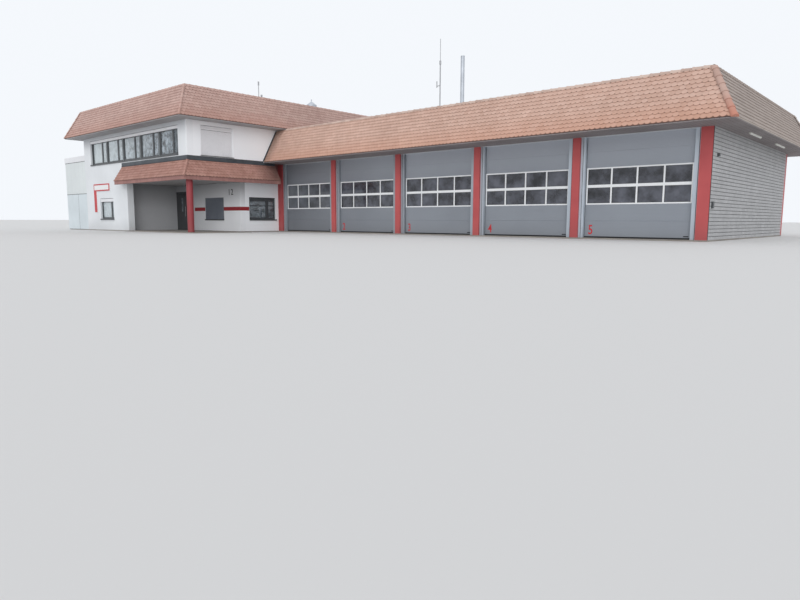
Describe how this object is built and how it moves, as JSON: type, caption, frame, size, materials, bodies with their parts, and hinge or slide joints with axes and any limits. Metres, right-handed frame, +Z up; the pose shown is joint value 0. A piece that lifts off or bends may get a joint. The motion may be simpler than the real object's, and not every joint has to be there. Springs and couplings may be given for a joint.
{
  "type": "fire station",
  "caption": "Low vehicle hall with sectional doors between pillars and a two-storey wing, both under tiled mansard skirts round flat roofs",
  "frame": {"origin": "at ground level under the middle of the vehicle hall", "axes": "+X along the hall's front towards its free end, +Y from front to rear, +Z up"},
  "size_m": [38.8184, 19.8372, 10.22],
  "materials": {
    "red_masonry": "painted rendered masonry",
    "pale_brick": "pale brickwork, matt",
    "white_render": "white painted render",
    "concrete": "smooth concrete",
    "roof_tile": "clay plain tiles, weathered",
    "white_board": "white painted boards",
    "timber": "sawn boarding",
    "door_grey": "satin grey paint",
    "jamb_grey": "light grey paint",
    "white_frame": "white paint",
    "dark_metal": "dark grey paint",
    "pale_metal": "light grey paint",
    "pane": "clear glass",
    "shutter": "ribbed shutter slats",
    "steel": "brushed",
    "cladding": "beige paint",
    "lamp": "translucent cover"
  },
  "bodies": {
    "building": {"hall_floor": "concrete", "wing_floor": "concrete", "hall_pillars": "red_masonry", "hall_side_wall": "pale_brick", "hall_rear_wall": "pale_brick", "hall_beams": "white_render", "party_wall": "white_render", "door_jambs": "jamb_grey", "sectional_doors": "door_grey", "door_window_frames": "white_frame", "door_glazing": "pane", "hall_soffits": "white_board", "hall_mansard_boarding": "timber", "hall_roof_tiles": "roof_tile", "hall_ridge_tiles": "roof_tile", "hall_roof_deck": "concrete", "wing_front_wall": "white_render", "wing_left_wall": "white_render", "wing_rear_wall": "white_render", "porch_left_wall": "white_render", "porch_rear_wall": "white_render", "porch_door_lintel": "white_render", "lower_side_wall": "white_render", "upper_floor": "concrete", "upper_side_wall": "white_render", "wing_soffits": "white_board", "wing_mansard_boarding": "timber", "wing_roof_tiles": "roof_tile", "wing_ridge_tiles": "roof_tile", "wing_roof_deck": "concrete", "canopy_boarding": "timber", "canopy_tiles": "roof_tile", "canopy_flashing": "dark_metal", "canopy_soffit": "white_board", "porch_column": "red_masonry", "window_frames": "dark_metal", "window_glass": "pane", "window_sills": "dark_metal", "roller_shutters": "shutter", "entrance_door_frame": "dark_metal", "annex_walls": "white_render", "annex_cladding": "cladding", "annex_panels": "white_frame", "annex_roof": "white_board", "flue_pipe": "pale_metal", "aerial_mast": "steel", "roof_ventilator": "pale_metal", "roof_aerial": "steel", "soffit_lights": "lamp", "side_wall_fittings": "dark_metal", "wall_sign": "white_frame"},
    "entrance_leaf": {"entrance_door": "dark_metal", "entrance_door_pane": "pane", "entrance_door_handle": "steel"}
  },
  "joints": [
    {"name": "entrance_hinge", "type": "hinge", "parent": "building", "child": "entrance_leaf", "pos_m": [-18.155, -8.262, 1.149], "axis": [0, 0, -1], "range_deg": [0, 90]}
  ]
}
